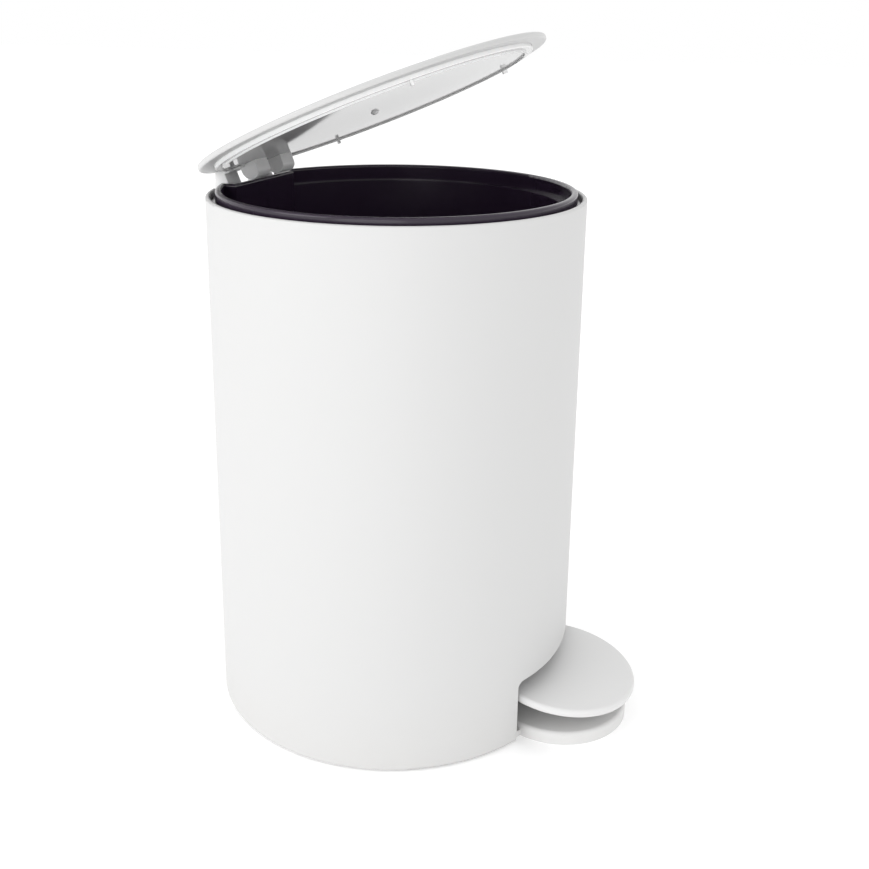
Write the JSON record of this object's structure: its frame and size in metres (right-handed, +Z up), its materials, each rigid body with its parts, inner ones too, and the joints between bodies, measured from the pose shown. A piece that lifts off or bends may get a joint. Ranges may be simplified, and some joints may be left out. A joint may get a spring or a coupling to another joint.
{
  "type": "pedal trash can",
  "caption": "Round pedal trash can with a plastic body, a lift-out bucket and a hinged lid that a foot pedal raises through a push rod.",
  "frame": {"origin": "centre of the base plate's flat underside, on the can's upright axis, at floor level", "axes": "+Z up along the can's axis, -Y to the pedal at the front, +Y to the lid's hinge at the back, X along the hinge pin"},
  "size_m": [0.17, 0.2071, 0.3105],
  "materials": {
    "body_plastic": "fine matte moulding, white",
    "base_plastic": "matte moulding, white",
    "lid_plastic": "satin moulding, white",
    "liner_plastic": "polished moulding, pale grey",
    "bucket_plastic": "polished moulding, black",
    "hinge_plastic": "matte moulding, pale grey",
    "guide_plastic": "matte moulding, natural",
    "lever_steel": "plated pressed sheet",
    "pin_steel": "drawn and plated"
  },
  "bodies": {
    "bin": {"outer_body": "body_plastic", "base_plate": "base_plastic", "base_screws": "pin_steel", "inner_bucket": "bucket_plastic", "hinge_bracket": "body_plastic", "hinge_bracket_screws": "pin_steel", "hinge_pin": "pin_steel", "hinge_pin_clip": "pin_steel", "rod_guide_lower": "guide_plastic", "rod_guide_upper": "guide_plastic", "pedal_pivot_pin": "pin_steel", "pedal_pivot_clips": "pin_steel"},
    "lid": {"lid_cover": "lid_plastic", "lid_liner": "liner_plastic", "hinge_arm_left": "hinge_plastic", "hinge_arm_right": "hinge_plastic", "crank_pin": "pin_steel"},
    "rod": {"push_rod": "pin_steel", "rod_head": "guide_plastic", "rod_foot": "guide_plastic"},
    "pedal": {"pedal_pad": "lid_plastic", "pedal_lever": "lever_steel", "pedal_screws": "pin_steel"}
  },
  "joints": [
    {"name": "lid_hinge", "type": "hinge", "parent": "bin", "child": "lid", "pos_m": [0, 0.0815, 0.232], "axis": [-1, 0, 0], "range_deg": [-23.3, 46]},
    {"name": "pedal_hinge", "type": "hinge", "parent": "bin", "child": "pedal", "pos_m": [0, -0.02, 0.018], "axis": [1, 0, 0], "range_deg": [-1.95, 3.7]},
    {"name": "rod_slide", "type": "slide", "parent": "bin", "child": "rod", "axis": [0, 0, 1], "range_m": [-0.0032, 0.0061]}
  ],
  "couplings": [
    {"joint": "pedal_hinge", "follows": "lid_hinge", "ratio": 0.08034},
    {"joint": "rod_slide", "follows": "lid_hinge", "m_per_rad": 0.007512}
  ]
}
